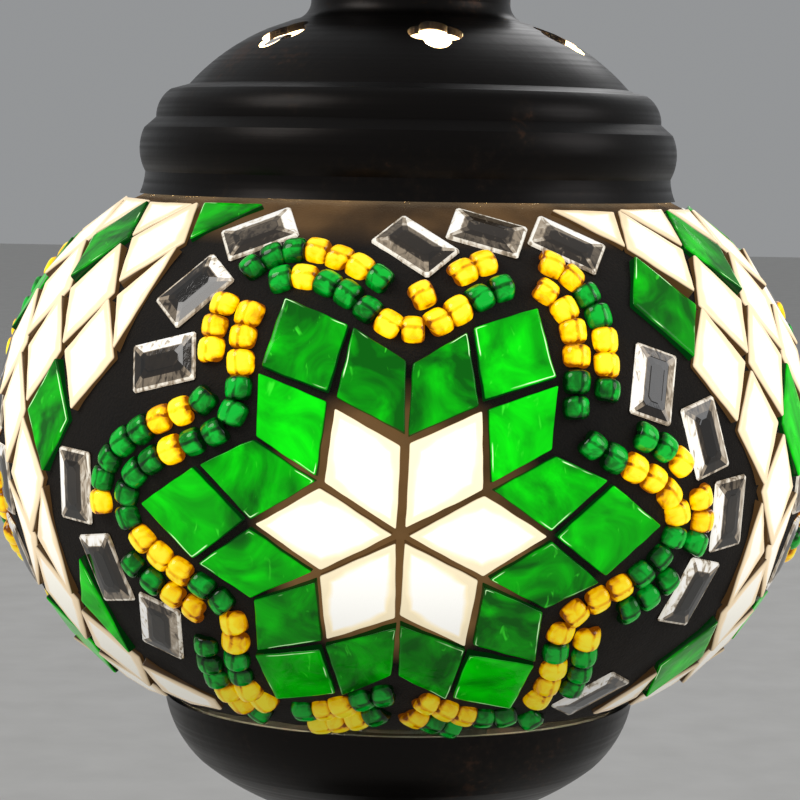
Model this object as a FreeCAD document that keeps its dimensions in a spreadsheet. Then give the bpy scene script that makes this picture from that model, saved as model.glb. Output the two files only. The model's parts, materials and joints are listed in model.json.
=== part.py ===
"""Mosaic glass table lamp: a glass globe covered in glass pieces, on a turned metal stand, under a pierced metal cap.

Millimetres. +Z is up, the origin is the centre of the underside, and the front medallion faces -Y.
Every size is a cell of the sheet "Sizes"; the sub-parts are bound to those cells.
"""

import FreeCAD, Part
import math
import os
import random
import re

import Sketcher
from FreeCAD import Rotation, Vector

SIZES = [
    # the globe's section is an oval of tangent arcs: two side arcs, a crown arc above and one below
    ("globe_radius", 63.0, "equator radius over the glass pieces"),
    ("side_offset", 20.0, "distance of the side arc's centre from the axis"),
    ("crown_drop", 30.33, "distance of the crown arc's centre beyond the equator plane"),
    ("equator_height", 190.0, "equator above the table"),
    ("piece_thick", 2.8, "glass pieces glued to the globe"),
    ("grout_thick", 0.6, "bed of grout under the pieces"),
    ("glass_thick", 2.6, "wall of the blown globe"),
    ("lip_radius", 38.4, "outside of the upright lip round the globe's mouth"),
    ("lip_top", 45.0, "top of the lip above the equator"),
    ("bottom_hole", 5.6, "radius of the hole through the globe's bottom"),
    ("grout_end", 28.0, "radius where the grout stops, inside the bowl"),
    # stand
    ("felt_radius", 60.2, ""),
    ("felt_thick", 2.0, ""),
    ("foot_radius", 62.0, ""),
    ("foot_seat", 1.0, "lower edge of the foot above the table"),
    ("foot_tall", 36.0, ""),
    ("foot_wall", 1.2, ""),
    ("plinth_tall", 14.0, "upright band round the foot"),
    ("shoulder_radius", 53.0, ""),
    ("shoulder_tall", 20.5, ""),
    ("cove_radius", 29.0, "where the foot's cove meets its crown"),
    ("cove_tall", 28.0, ""),
    ("foot_top_radius", 18.0, ""),
    ("ballast_radius", 54.0, ""),
    ("ballast_thick", 12.0, ""),
    ("recess_radius", 14.0, "room for the nut under the ballast"),
    ("recess_deep", 7.0, ""),
    ("channel_wide", 8.0, "groove under the ballast for a lead"),
    ("inlet_height", 7.6, "axis of the lead's inlet above the table"),
    ("inlet_hole", 3.9, "radius of the hole through the foot"),
    ("grommet_bore", 3.2, ""),
    ("grommet_flange", 4.9, ""),
    ("grommet_lip", 1.5, "thickness of each flange"),
    ("tube_radius", 4.9, "threaded tube that holds the stand together"),
    ("tube_bore", 3.5, ""),
    ("tube_foot", 4.4, "lower end of the tube above the table"),
    ("tube_length", 156.0, ""),
    ("bore", 5.1, "bores over the threaded tube"),
    ("nut_flats", 17.0, "across flats of the nuts"),
    ("washer_radius", 12.0, ""),
    ("washer_thick", 1.2, ""),
    # stem, from the foot up
    ("bell_radius", 17.0, ""),
    ("bell_tall", 14.0, ""),
    ("low_ring_radius", 14.0, ""),
    ("low_ring_tall", 8.0, ""),
    ("vase_radius", 13.5, ""),
    ("vase_neck", 6.8, ""),
    ("vase_tall", 38.0, ""),
    ("high_ring_radius", 12.0, ""),
    ("high_ring_tall", 7.0, ""),
    ("trumpet_radius", 13.0, ""),
    ("trumpet_waist", 6.6, ""),
    ("trumpet_tall", 26.0, ""),
    # bowl under the globe
    ("bowl_radius", 36.6, ""),
    ("bowl_deep", 20.0, ""),
    ("bowl_wall", 1.0, ""),
    ("bowl_hip_radius", 31.6, "where the bowl's side arc meets its bottom arc"),
    ("bowl_hip_tall", 10.0, ""),
    ("bowl_foot", 11.0, "radius of the bowl's flat underside"),
    ("spacer_radius", 13.0, ""),
    ("spacer_tall", 10.0, ""),
    ("cushion_radius", 14.0, ""),
    # lampholder for a small screw cap
    ("holder_height", 156.2, "underside of the holder above the table"),
    ("holder_radius", 14.0, ""),
    ("holder_tall", 34.0, ""),
    ("holder_base_tall", 13.0, ""),
    ("holder_wall", 1.6, ""),
    ("shell_bore", 7.3, "inside of the brass shell"),
    ("shell_wall", 0.5, ""),
    ("shell_tall", 19.0, ""),
    # bulb
    ("bulb_radius", 12.5, ""),
    ("cap_thread_radius", 6.8, ""),
    ("screw_cap_tall", 16.0, ""),
    ("bulb_glass_tall", 34.0, "height of the bulb's glass above the holder's rim"),
    ("bulb_wall", 0.7, ""),
    # cap over the globe's mouth
    ("cap_height", 227.0, "rim of the cap above the table"),
    ("cap_radius", 41.2, ""),
    ("cap_wall", 1.0, ""),
    ("cap_flange_tall", 31.0, "top of the neck above the rim"),
    ("neck_radius", 15.3, ""),
    ("piercing_radius", 24.0, "distance of each pierced quatrefoil from the axis"),
    ("piercing_count", 6.0, ""),
    ("piercing_turn", 8.7, "degrees that the cap is turned from the front"),
    ("foil_offset", 1.95, "centre of each of the quatrefoil's lobes"),
    ("foil_radius", 2.1, ""),
    ("seat_outer", 38.7, "ring inside the cap that rests on the lip"),
    ("seat_inner", 34.6, ""),
    ("gasket_thick", 1.2, ""),
    ("nipple_length", 38.0, ""),
    ("collar_radius", 17.4, ""),
    ("collar_tall", 5.0, ""),
    ("crown_radius", 14.6, ""),
    ("crown_tall", 15.0, ""),
    ("finial_radius", 7.6, ""),
    ("finial_tall", 26.0, ""),
    ("finial_ball", 2.7, "radius of the ball at its tip"),
    # glass pieces
    ("medallion_drop", 7.0, "star's centre below the equator, along the glass"),
    ("medallion_tilt", 1.5, "degrees that each medallion leans clockwise"),
    ("white_notch", 12.6, "from the star's centre to where two white pieces part"),
    ("white_tip", 20.4, "to the tip of a white piece"),
    ("green_notch", 23.6, "to the notch between two green arms"),
    ("shoulder", 30.0, "to the widest place of the piece at an arm's tip"),
    ("shoulder_lean", 14.2, "degrees from the arm's axis to there"),
    ("green_tip", 38.0, "to an arm's tip"),
    ("piece_gap", 0.6, "grout between two pieces of a medallion"),
    ("piece_apart", 0.08, "least room between any two pieces"),
    ("hand_error", 0.3, "how far a piece may be laid from its proper place"),
    ("row_notch", 28.3, "inner row of beads, from the star's centre, between two arms"),
    ("row_tip", 40.6, "the same at an arm's tip"),
    ("row_swell", 2.2, "how sharply the row swells out round a tip"),
    ("row_pitch", 4.8, "from the inner row to the outer one"),
    ("bead_radius", 2.05, ""),
    ("bead_length", 2.7, ""),
    ("bead_bore", 0.7, ""),
    ("bead_pitch", 3.7, ""),
    ("jewel_long", 10.4, ""),
    ("jewel_wide", 7.0, ""),
    ("jewel_bevel", 1.3, ""),
    ("jewel_tip", 51.4, "the jewel beyond each arm's tip, from the star's centre"),
    ("jewel_side", 47.6, "the jewels beside that one"),
    ("jewel_lean", 15.5, "degrees from the arm's axis to those"),
    ("jewel_notch", 42.2, "the jewel between two arms"),
    ("diamond_wide", 6.5, "half width of a dividing rhombus"),
    ("diamond_tall", 9.4, "half height of a dividing rhombus"),
    ("diamond_level", 34.0, "height of the top row of rhombi, along the glass"),
    ("divider_top", 43.0, "the dividers are cut off here, along the glass"),
    ("divider_bottom", -45.5, ""),
    ("top_limit", 37.1, "pieces stay below this height over the equator"),
    ("low_limit", -39.3, "and above this one"),
]
FUNCTIONS = ("sqrt",)

doc = FreeCAD.newDocument("lamp")
sheet = doc.addObject("Spreadsheet::Sheet", "Sizes")
for row, (alias, value, meaning) in enumerate(SIZES, start=1):
    sheet.set(f"A{row}", alias)
    sheet.set(f"B{row}", str(value))
    sheet.set(f"C{row}", meaning)
    sheet.setAlias(f"B{row}", alias)
doc.recompute()
SIZE = {alias: value for alias, value, meaning in SIZES}
parts = []


def bound(formula):
    """The formula with each size's name turned into a reference to its cell."""
    def cell(match):
        word = match.group(0)
        return word if word in FUNCTIONS else f"Sizes.{word}"
    return re.sub(r"[a-z_]+", cell, formula)


def number(formula):
    return float(sheet.evalExpression(bound(formula)))


def keep(piece, label, seat=None, turn=0.0):
    """Names a finished sub-part and sets it at its height above the table."""
    piece.Label = label
    if turn:
        piece.Placement.Rotation = Rotation(Vector(0, 0, 1), turn)
    if seat is not None:
        piece.setExpression("Placement.Base.z", bound(seat))
    parts.append(piece)
    return piece


# ---------------------------------------------------------------- sketches

def plane_of(body, role):
    return next(o for o in body.Origin.OriginFeatures if o.Role == role)


def arc_between(start, end, radius, side):
    """The arc of that radius from start to end; side +1 leaves its centre on the left, -1 on the right."""
    chord = end - start
    middle = (start + end) * 0.5
    left = Vector(-chord.y, chord.x, 0).normalize()
    reach = math.sqrt(max(radius ** 2 - (chord.Length / 2) ** 2, 0.0))
    centre = middle + left * reach * side
    first, last = (start, end) if side > 0 else (end, start)
    angles = [math.atan2(p.y - centre.y, p.x - centre.x) for p in (first, last)]
    return Part.ArcOfCircle(Part.Circle(centre, Vector(0, 0, 1), radius), *angles)


def fix_point(sketch, edge, end, formulas):
    """Binds a point's distances from the sketch's origin to two formulas."""
    for kind, axis, formula in (("DistanceX", -2, formulas[0]), ("DistanceY", -1, formulas[1])):
        if formula == "0":
            sketch.addConstraint(Sketcher.Constraint("PointOnObject", edge, end, axis))
            continue
        index = sketch.addConstraint(Sketcher.Constraint(kind, -1, 1, edge, end, number(formula)))
        sketch.setExpression(f"Constraints[{index}]", bound(formula))


def draw_outline(sketch, outline):
    """Draws a closed outline. Each corner is (x, y), and (x, y, radius, side) where an arc leads to it."""
    points = [Vector(number(c[0]), number(c[1]), 0) for c in outline]
    starts, ends = [], []
    for i, point in enumerate(points):
        corner = outline[(i + 1) % len(outline)]
        after = points[(i + 1) % len(points)]
        if len(corner) == 2:
            edge = sketch.addGeometry(Part.LineSegment(point, after), False)
            tips = (1, 2)
        else:
            edge = sketch.addGeometry(arc_between(point, after, number(corner[2]), corner[3]), False)
            tips = (1, 2) if corner[3] > 0 else (2, 1)
            index = sketch.addConstraint(Sketcher.Constraint("Radius", edge, number(corner[2])))
            sketch.setExpression(f"Constraints[{index}]", bound(corner[2]))
        starts.append((edge, tips[0]))
        ends.append((edge, tips[1]))
    for i, corner in enumerate(outline):
        sketch.addConstraint(Sketcher.Constraint("Coincident", *ends[i - 1], *starts[i]))
        fix_point(sketch, *starts[i], corner[:2])


def new_sketch(body, name, role):
    sketch = body.newObject("Sketcher::SketchObject", name)
    sketch.AttachmentSupport = [(plane_of(body, role), "")]
    sketch.MapMode = "FlatFace"
    return sketch


def turned_body(name, outline):
    """A body turned about the vertical axis from its half section."""
    body = doc.addObject("PartDesign::Body", name)
    sketch = new_sketch(body, name + "_section", "XZ_Plane")
    draw_outline(sketch, outline)
    turning = body.newObject("PartDesign::Revolution", name + "_turning")
    turning.Profile = sketch
    turning.ReferenceAxis = (sketch, ["V_Axis"])
    turning.Angle = 360.0
    body.Tip = turning
    return body


def turned(label, seat, outline, turn=0.0):
    return keep(turned_body(label + "_body", outline), label, seat, turn)


def ring(label, seat, outer, inner, tall):
    """A flat ring or washer."""
    return turned(label, seat, [(inner, "0"), (outer, "0"), (outer, tall), (inner, tall)])


def cylinder(name, radius, tall):
    solid = doc.addObject("Part::Cylinder", name)
    solid.setExpression("Radius", bound(radius))
    solid.setExpression("Height", bound(tall))
    return solid


def hex_nut(label, seat, tall):
    """A hexagon nut over the threaded tube."""
    block = doc.addObject("Part::Prism", label + "_block")
    block.Polygon = 6
    block.setExpression("Circumradius", bound("nut_flats / sqrt(3)"))
    block.setExpression("Height", bound(tall))
    hole = cylinder(label + "_hole", "bore", tall)
    nut = doc.addObject("Part::Cut", label + "_cut")
    nut.Base, nut.Tool = block, hole
    return keep(nut, label, seat)


# ---------------------------------------------------------------- stand

def make_foot():
    """Spun foot: a plinth, a quarter-round shoulder, a cove and a small crown, all of one wall."""
    wall = "foot_wall"
    outline = [
        ("foot_radius", "0"),
        ("foot_radius", "plinth_tall"),
        ("foot_radius - 2", "plinth_tall"),
        ("shoulder_radius", "shoulder_tall", "7", 1),
        ("shoulder_radius - 2", "shoulder_tall"),
        ("cove_radius", "cove_tall", "34", -1),
        ("cove_radius - 2", "cove_tall"),
        ("foot_top_radius", "foot_tall", "9.5", 1),
        ("bore", "foot_tall"),
        ("bore", f"foot_tall - {wall}"),
        (f"foot_top_radius - {wall}", f"foot_tall - {wall}"),
        (f"cove_radius - 2 - {wall}", f"cove_tall - {wall}", "9", -1),
        (f"cove_radius - {wall}", f"cove_tall - {wall}"),
        (f"shoulder_radius - 2 - {wall}", f"shoulder_tall - {wall}", "35", 1),
        (f"shoulder_radius - {wall}", f"shoulder_tall - {wall}"),
        (f"foot_radius - 2 - {wall}", f"plinth_tall - {wall}", "6.4", -1),
        (f"foot_radius - {wall}", f"plinth_tall - {wall}"),
        (f"foot_radius - {wall}", "0"),
    ]
    body = turned_body("foot_body", outline)
    hole = new_sketch(body, "inlet_hole_sketch", "XZ_Plane")
    circle = hole.addGeometry(Part.Circle(Vector(0, number("inlet_height - foot_seat"), 0), Vector(0, 0, 1),
                                          number("inlet_hole")), False)
    index = hole.addConstraint(Sketcher.Constraint("Radius", circle, number("inlet_hole")))
    hole.setExpression(f"Constraints[{index}]", bound("inlet_hole"))
    fix_point(hole, circle, 3, ("0", "inlet_height - foot_seat"))
    cut = body.newObject("PartDesign::Pocket", "inlet_hole_cut")
    cut.Profile = hole
    cut.Type = "ThroughAll"
    body.Tip = cut
    doc.recompute()
    wall = Vector(0, number("foot_radius - foot_wall / 2"), number("inlet_height - foot_seat"))
    if cut.Shape.isInside(wall, 0.01, True):
        raise RuntimeError("the inlet isn't drilled through the back of the foot")
    return keep(body, "foot_shell", "foot_seat")


def make_ballast():
    """Cast iron disc with a recess for the nut and a groove for a lead under it."""
    disc = cylinder("ballast_blank", "ballast_radius", "ballast_thick")
    bore = cylinder("ballast_bore", "bore", "ballast_thick")
    recess = cylinder("ballast_recess", "recess_radius", "recess_deep")
    groove = doc.addObject("Part::Box", "ballast_groove")
    groove.setExpression("Length", bound("channel_wide"))
    groove.setExpression("Width", bound("ballast_radius"))
    groove.setExpression("Height", bound("channel_wide"))
    groove.setExpression("Placement.Base.x", bound("channel_wide / -2"))
    tools = doc.addObject("Part::MultiFuse", "ballast_tools")
    tools.Shapes = [bore, recess, groove]
    ballast = doc.addObject("Part::Cut", "ballast_cut")
    ballast.Base, ballast.Tool = disc, tools
    return keep(ballast, "ballast_disc", "felt_thick")


def make_grommet():
    """Rubber bush in the foot's back wall: two flanges and the groove that the wall sits in."""
    outer, inner = "foot_radius + 0.05", "foot_radius - foot_wall - 0.4"
    outline = [
        ("grommet_bore", f"{inner} - grommet_lip"),
        ("grommet_flange", f"{inner} - grommet_lip"),
        ("grommet_flange", inner),
        ("inlet_hole - 0.1", inner),
        ("inlet_hole - 0.1", outer),
        ("grommet_flange", outer),
        ("grommet_flange - 0.7", f"{outer} + grommet_lip"),
        ("grommet_bore", f"{outer} + grommet_lip"),
    ]
    body = turned_body("grommet_body", outline)
    body.Placement.Rotation = Rotation(Vector(1, 0, 0), -90)
    return keep(body, "inlet_grommet", "inlet_height")


def make_stand():
    ring("felt_pad", "0 * felt_thick", "felt_radius", "bore", "felt_thick")
    make_ballast()
    make_foot()
    make_grommet()
    ring("threaded_tube", "tube_foot", "tube_radius", "tube_bore", "tube_length")
    ring("base_washer", "felt_thick + recess_deep - washer_thick", "washer_radius", "bore", "washer_thick")
    hex_nut("base_nut", "felt_thick + recess_deep - washer_thick - 4.5", "4.5")
    turned("stem_bell", "foot_seat + foot_tall", [
        ("bore", "0"), ("bell_radius", "0"), ("bell_radius", "2"), ("bell_radius - 1.5", "3"),
        ("8.6", "bell_tall - 1.5", "11.5", -1), ("8.6", "bell_tall"), ("bore", "bell_tall")])
    seat = "foot_seat + foot_tall + bell_tall"
    make_stem_ring("stem_ring_lower", seat, "low_ring_radius", "low_ring_tall", "4.9")
    seat += " + low_ring_tall"
    turned("stem_vase", seat, [
        ("bore", "0"), ("8.2", "0"), ("8.2", "2"),
        ("vase_radius", "13", "16", 1), ("vase_neck + 1.9", "24.5", "18", 1),
        ("vase_neck", "vase_tall - 5", "19", -1), ("vase_neck + 2.2", "vase_tall - 2", "4", -1),
        ("vase_neck + 2.2", "vase_tall"), ("bore", "vase_tall")])
    seat += " + vase_tall"
    make_stem_ring("stem_ring_upper", seat, "high_ring_radius", "high_ring_tall", "4.3")
    seat += " + high_ring_tall"
    turned("stem_trumpet", seat, [
        ("bore", "0"), ("8.8", "0"), ("8.8", "2"), ("trumpet_waist", "6", "5", -1),
        ("trumpet_radius - 1", "trumpet_tall - 3", "34", -1), ("trumpet_radius", "trumpet_tall - 2"),
        ("trumpet_radius", "trumpet_tall"), ("bore", "trumpet_tall")])
    return seat + " + trumpet_tall"


def make_stem_ring(label, seat, radius, tall, bulge):
    """A turned ring: half round between two fillets."""
    turned(label, seat, [
        ("bore", "0"), ("9", "0"), (f"{radius} - 1.6", "0.9"),
        (f"{radius} - 1.6", f"{tall} - 0.9", bulge, 1), ("9", tall), ("bore", tall)])


def make_bowl(seat):
    """Spun bowl that hides the bottom of the globe, with what clamps the globe inside it."""
    wall = "bowl_wall"
    turned("lower_bowl", seat, [
        ("bore", "0"), ("bowl_foot", "0"), ("bowl_foot", "0.8"),
        ("bowl_hip_radius", "bowl_hip_tall", "42", 1),
        ("bowl_radius", "bowl_deep", "17", 1),
        (f"bowl_radius - {wall}", "bowl_deep"),
        (f"bowl_hip_radius - {wall} * 0.9", f"bowl_hip_tall + {wall} * 0.5", "16", -1),
        (f"bowl_foot - {wall}", f"0.8 + {wall}", "41", -1),
        (f"bowl_foot - {wall}", wall), ("bore", wall)])
    ring("bowl_spacer", f"{seat} + {wall}", "bowl_foot - 1.4", "bore", "spacer_tall")
    crown = "globe_radius - side_offset + sqrt(side_offset ^ 2 + crown_drop ^ 2)"
    blank = f"({crown} - piece_thick - grout_thick)"
    inside = f"({crown} - piece_thick - grout_thick - glass_thick)"
    low = f"({seat} + {wall} + spacer_tall)"
    turned("globe_cushion", low, [
        ("bottom_hole", "0"), ("cushion_radius", "0"),
        ("cushion_radius", f"equator_height + crown_drop - sqrt({blank} ^ 2 - cushion_radius ^ 2) - {low}"),
        ("bottom_hole", f"equator_height + crown_drop - sqrt({blank} ^ 2 - bottom_hole ^ 2) - {low}",
         blank, -1)])
    clamp = "equator_height - 40"
    turned("inner_washer_rubber", f"equator_height + crown_drop - {inside}", [
        ("bottom_hole", f"{inside} - sqrt({inside} ^ 2 - bottom_hole ^ 2)"),
        ("washer_radius", f"{inside} - sqrt({inside} ^ 2 - washer_radius ^ 2)", inside, 1),
        ("washer_radius", f"{clamp} - (equator_height + crown_drop - {inside})"),
        ("bottom_hole", f"{clamp} - (equator_height + crown_drop - {inside})")])
    ring("inner_washer_steel", clamp, "washer_radius", "bore", "washer_thick")
    hex_nut("globe_nut", f"{clamp} + washer_thick", "4.8")


# ---------------------------------------------------------------- globe

def oval_corners(skin):
    """The upper half of the globe's outline at a depth under the pieces: its junction, side and crown radii."""
    run = "sqrt(side_offset ^ 2 + crown_drop ^ 2)"
    side = f"(globe_radius - side_offset - {skin})"
    crown = f"({side} + {run})"
    junction = (f"side_offset + {side} * side_offset / {run}", f"{side} * crown_drop / {run}")
    return junction, side, crown


def height_at(crown, radius):
    return f"(sqrt({crown} ^ 2 - {radius} ^ 2) - crown_drop)"


def make_globe_glass():
    """Blown globe: an oval shell with an upright lip round its mouth and a hole in its bottom."""
    (out_r, out_z), out_side, out_crown = oval_corners("(piece_thick + grout_thick)")
    (in_r, in_z), in_side, in_crown = oval_corners("(piece_thick + grout_thick + glass_thick)")
    mouth = "(lip_radius - glass_thick)"
    turned("globe_glass", "equator_height", [
        ("bottom_hole", f"-1 * {height_at(out_crown, 'bottom_hole')}"),
        (out_r, f"-1 * {out_z}", out_crown, 1),
        (out_r, out_z, out_side, 1),
        ("lip_radius", height_at(out_crown, "lip_radius"), out_crown, 1),
        ("lip_radius", "lip_top"), (mouth, "lip_top"), (mouth, height_at(in_crown, mouth)),
        (in_r, in_z, in_crown, -1),
        (in_r, f"-1 * {in_z}", in_side, -1),
        ("bottom_hole", f"-1 * {height_at(in_crown, 'bottom_hole')}", in_crown, -1)])


def make_grout():
    """Bed of grout on the glass, from the lip down into the bowl."""
    (out_r, out_z), out_side, out_crown = oval_corners("piece_thick")
    (in_r, in_z), in_side, in_crown = oval_corners("(piece_thick + grout_thick)")
    turned("grout_bed", "equator_height", [
        ("grout_end", f"-1 * {height_at(out_crown, 'grout_end')}"),
        (out_r, f"-1 * {out_z}", out_crown, 1),
        (out_r, out_z, out_side, 1),
        ("lip_radius", height_at(out_crown, "lip_radius"), out_crown, 1),
        ("lip_radius", height_at(in_crown, "lip_radius")),
        (in_r, in_z, in_crown, -1),
        (in_r, f"-1 * {in_z}", in_side, -1),
        ("grout_end", f"-1 * {height_at(in_crown, 'grout_end')}", in_crown, -1)])


class Spot:
    """A place on the globe: where a piece's underside touches the grout, and the outward normal there."""

    def __init__(self, azimuth, arc):
        """azimuth in radians from the front, towards +X; arc is the length up the glass from the equator."""
        side = SIZE["globe_radius"] - SIZE["side_offset"]
        tilt = math.atan2(SIZE["crown_drop"], SIZE["side_offset"])
        crown = side + math.hypot(SIZE["side_offset"], SIZE["crown_drop"])
        bend = abs(arc) / side
        if bend <= tilt:
            radius, height = SIZE["side_offset"] + side * math.cos(bend), side * math.sin(bend)
        else:
            bend = tilt + (abs(arc) - side * tilt) / crown
            radius, height = crown * math.cos(bend), crown * math.sin(bend) - SIZE["crown_drop"]
        bend, height = math.copysign(bend, arc), math.copysign(height, arc)
        out = Vector(math.sin(azimuth), -math.cos(azimuth), 0)
        self.height = height
        self.normal = out * math.cos(bend) + Vector(0, 0, math.sin(bend))
        skin = out * radius + Vector(0, 0, height + SIZE["equator_height"])
        self.point = skin - self.normal * (SIZE["piece_thick"] - 0.03)

    def flat(self, point):
        """A point moved along the normal onto the plane through this spot."""
        return point - self.normal * (point - self.point).dot(self.normal)


MEAN_RADIUS = 62.0


def medallion_spot(turn, across, up):
    """The spot at a place of a medallion's flat drawing, wrapped round the globe from the star's centre."""
    drop = -SIZE["medallion_drop"] / MEAN_RADIUS
    reach = math.hypot(across, up) / MEAN_RADIUS
    bearing = math.atan2(across, up)
    rise = math.asin(math.sin(drop) * math.cos(reach) + math.cos(drop) * math.sin(reach) * math.cos(bearing))
    swing = math.atan2(math.sin(bearing) * math.sin(reach) * math.cos(drop),
                       math.cos(reach) - math.sin(drop) * math.sin(rise))
    return Spot(turn + swing, rise * MEAN_RADIUS)


def divider_spot(turn, across, up):
    """The spot at a place of a dividing column's drawing, which runs straight up the globe."""
    radius = math.hypot(*Spot(0, up).point[:2]) + SIZE["piece_thick"]
    return Spot(turn + across / radius, up)


def polar(radius, degrees, centre=(0, 0)):
    angle = math.radians(degrees)
    return (centre[0] + radius * math.cos(angle), centre[1] + radius * math.sin(angle))


class Mosaic:
    """The glass pieces laid so far, in groups. A piece is left out where it would touch one already laid."""

    def __init__(self):
        self.hand = random.Random(11)
        self.groups = {}
        self.laid = []

    def lay(self, group, solid):
        box = solid.BoundBox
        floor = SIZE["equator_height"] + SIZE["low_limit"]
        ceiling = SIZE["equator_height"] + SIZE["top_limit"]
        if box.ZMin < floor or box.ZMax > ceiling:
            return False
        box.enlarge(SIZE["piece_apart"])
        near = [other for other, other_box in self.laid if box.intersect(other_box)]
        if any(other.distToShape(solid)[0] < SIZE["piece_apart"] for other in near):
            return False
        self.laid.append((solid, box))
        self.groups.setdefault(group, []).append(solid)
        return True

    def wander(self, place, share=1.0):
        """The place as a hand would hit it."""
        error = SIZE["hand_error"] * share
        return tuple(value + self.hand.uniform(-error, error) for value in place)


def slab_of(rim, normal):
    return Part.Face(Part.makePolygon(rim + rim[:1])).extrude(normal * SIZE["piece_thick"])


def glass_slab(spot_of, turn, corners):
    """A flat piece of glass whose corners are places of a drawing, drawn in by half the gap."""
    count = len(corners)
    middle_x, middle_y = (sum(corner[k] for corner in corners) / count for k in (0, 1))
    middle = spot_of(turn, middle_x, middle_y)
    reach = sum(math.dist(corner, (middle_x, middle_y)) for corner in corners) / count
    shrink = 1 - 0.75 * SIZE["piece_gap"] / reach
    rim = []
    for x, y in corners:
        place = (middle_x + (x - middle_x) * shrink, middle_y + (y - middle_y) * shrink)
        rim.append(middle.flat(spot_of(turn, *place).point))
    return slab_of(rim, middle.normal)


def arm_corner(one, two, axis):
    """Corner (one, two) of the two by two pieces in the star's arm that points along axis."""
    if (one, two) == (0, 0):
        return (0.0, 0.0)
    names = {(1, 0): "white_notch", (1, 1): "white_tip", (2, 0): "green_notch", (2, 1): "shoulder",
             (2, 2): "green_tip"}
    leans = {0: 0, 1: SIZE["shoulder_lean"] if max(one, two) == 2 else 30, 2: 30}
    far = SIZE[names[max(one, two), min(one, two)]]
    return polar(far, axis + math.copysign(leans[abs(two - one)], two - one))


def lay_star(mosaic, turn):
    """Six white pieces round the medallion's centre, and three green ones beyond each of them."""
    for tip in range(6):
        axis = 60 * tip - SIZE["medallion_tilt"]
        for i, j in ((0, 0), (0, 1), (1, 0), (1, 1)):
            corners = [mosaic.wander(arm_corner(a, b, axis))
                       for a, b in ((i, j), (i + 1, j), (i + 1, j + 1), (i, j + 1))]
            colour = "green" if i or j else "white"
            mosaic.lay("star_pieces_" + colour, glass_slab(medallion_spot, turn, corners))


def grip(turn, place, degrees):
    """The spot of a place, with the directions along and across a line of the medallion's drawing there."""
    spot = medallion_spot(turn, *place)
    ahead = medallion_spot(turn, *polar(1, degrees, place))
    forward = (spot.flat(ahead.point) - spot.point).normalize()
    return spot, forward, spot.normal.cross(forward)


def jewel(turn, place, degrees):
    """A clear rectangle with a bevelled top, its long side at an angle of the drawing."""
    spot, forward, sideways = grip(turn, place, degrees)
    long, wide = forward * (SIZE["jewel_long"] / 2), sideways * (SIZE["jewel_wide"] / 2)
    rim = [spot.point + long * a + wide * b for a, b in ((-1, -1), (1, -1), (1, 1), (-1, 1))]
    slab = slab_of(rim, spot.normal)
    top = max(slab.Faces, key=lambda face: face.CenterOfMass.dot(spot.normal))
    return slab.makeChamfer(SIZE["jewel_bevel"], top.Edges)


def lay_jewels(mosaic, turn):
    """Clear jewels round the bead border: three beyond each arm and one askew between two arms."""
    lean = SIZE["jewel_lean"]
    wanted = (("jewel_tip", 0, 90), ("jewel_side", -lean, 90), ("jewel_side", lean, 90), ("jewel_notch", 30, 50))
    for arm in range(6):
        axis = 60 * arm - SIZE["medallion_tilt"]
        for radius, aside, twist in wanted:
            for nearer in (0, 0.3, 0.6, 0.9, 1.2):
                place = mosaic.wander(polar(SIZE[radius] - nearer, axis + aside))
                askew = axis + aside + twist + mosaic.hand.uniform(-5, 5)
                if mosaic.lay("jewels_clear", jewel(turn, place, askew)):
                    break


def make_bead():
    """One seed bead about the X axis, with chamfered ends and a bore."""
    radius, half, bore = SIZE["bead_radius"], SIZE["bead_length"] / 2, SIZE["bead_bore"]
    corner = 0.42 * radius
    section = Part.makePolygon([
        Vector(-half, bore, 0), Vector(-half, radius - corner, 0), Vector(corner - half, radius, 0),
        Vector(half - corner, radius, 0), Vector(half, radius - corner, 0), Vector(half, bore, 0),
        Vector(-half, bore, 0)])
    return Part.Face(section).revolve(Vector(0, 0, 0), Vector(1, 0, 0), 360)


def border_line(degrees, aside):
    """A place on the border, which dips between the arms and swells out round them, or at a distance outside it."""
    def on_line(angle):
        swell = abs(math.cos(math.radians(3 * angle))) ** SIZE["row_swell"]
        reach = SIZE["row_notch"] + (SIZE["row_tip"] - SIZE["row_notch"]) * swell
        return polar(reach, angle - SIZE["medallion_tilt"])

    before, here = on_line(degrees - 0.1), on_line(degrees)
    along = math.atan2(here[1] - before[1], here[0] - before[0])
    return (here[0] + aside * math.sin(along), here[1] - aside * math.cos(along)), math.degrees(along)


def row_places(aside):
    """Place and direction of each bead of a row, a bead's pitch apart."""
    walked, before = 0.0, border_line(30, aside)[0]
    for step in range(1, 3600):
        here, along = border_line(30 + step / 10, aside)
        walked += math.dist(before, here)
        if walked >= SIZE["bead_pitch"]:
            walked -= SIZE["bead_pitch"]
            yield here, along
        before = here


def lay_beads(mosaic, turn):
    """The bead border: an inner and an outer row, in runs of amber and of green."""
    bead = make_bead()
    run, colour = 0, "amber"
    for place, degrees in (*row_places(0), *row_places(SIZE["row_pitch"])):
        if run == 0:
            colour = "green" if colour == "amber" else "amber"
            run = mosaic.hand.choice((1, 2, 2, 3, 4))
        run -= 1
        for attempt in range(4):
            askew = degrees + mosaic.hand.uniform(-3, 3)
            spot, forward, sideways = grip(turn, mosaic.wander(place, 0.4), askew)
            copy = bead.copy()
            copy.Placement.Rotation = Rotation(forward, sideways, spot.normal, "XYZ")
            copy.Placement.Base = spot.point + spot.normal * (SIZE["bead_radius"] + 0.02)
            if mosaic.lay("beads_" + colour, copy):
                break


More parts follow.
